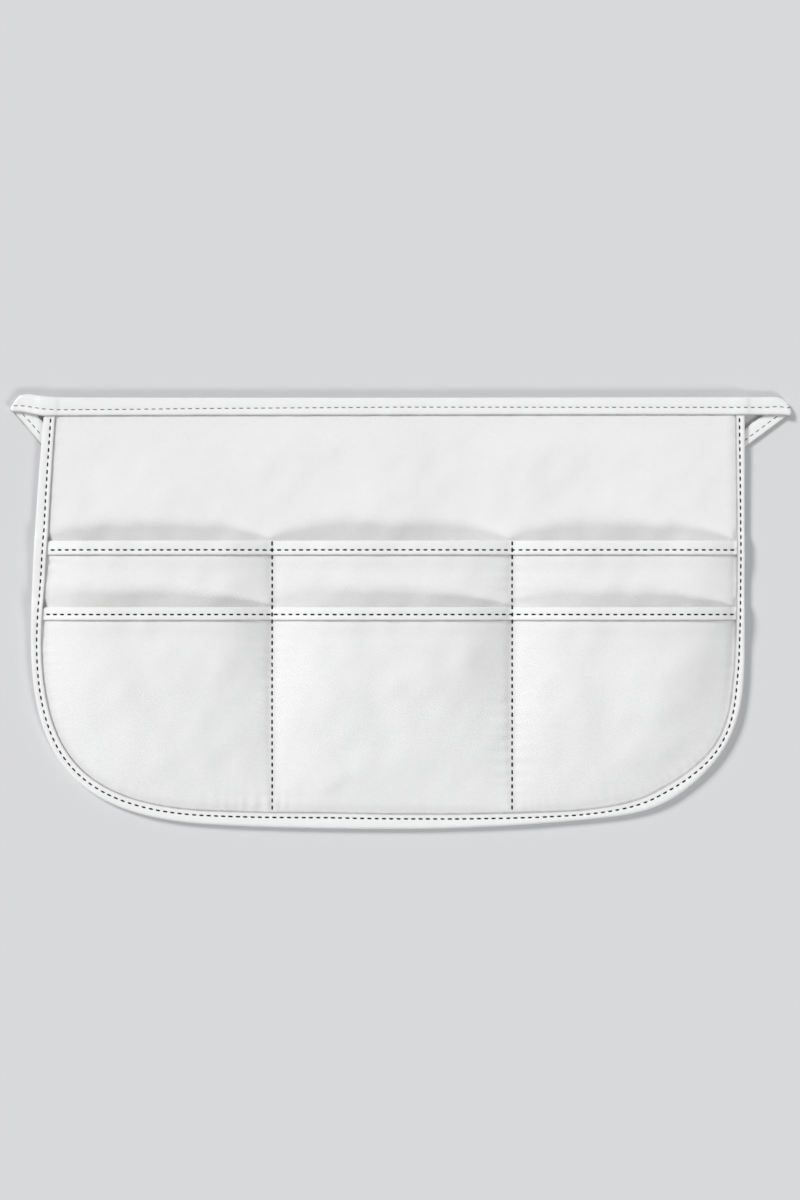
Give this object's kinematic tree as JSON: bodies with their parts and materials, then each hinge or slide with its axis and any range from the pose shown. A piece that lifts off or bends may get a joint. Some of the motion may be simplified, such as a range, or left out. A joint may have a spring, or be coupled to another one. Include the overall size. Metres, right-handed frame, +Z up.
{
  "type": "money pouch apron",
  "caption": "Short waist apron with a rounded hem, bound edges, ties and two layers of open money pouches divided by stitching.",
  "frame": {"origin": "middle of the apron's outline on the surface that it lies on", "axes": "+X along the waistband to the wearer's left, +Y from the hem to the waistband, +Z up out of the apron's face"},
  "size_m": [0.551, 0.3075, 0.0231],
  "materials": {
    "apron_cloth": "matt white cotton twill",
    "binding_tape": "matt white plain-woven tape with dark topstitching",
    "waist_tape": "matt white plain-woven tape with fine grey topstitching"
  },
  "bodies": {
    "root": {"back_panel": "apron_cloth", "rear_pocket": "apron_cloth", "front_pocket": "apron_cloth", "rear_pocket_binding": "binding_tape", "front_pocket_binding": "binding_tape", "edge_binding": "binding_tape", "waist_tape": "waist_tape"}
  },
  "joints": []
}
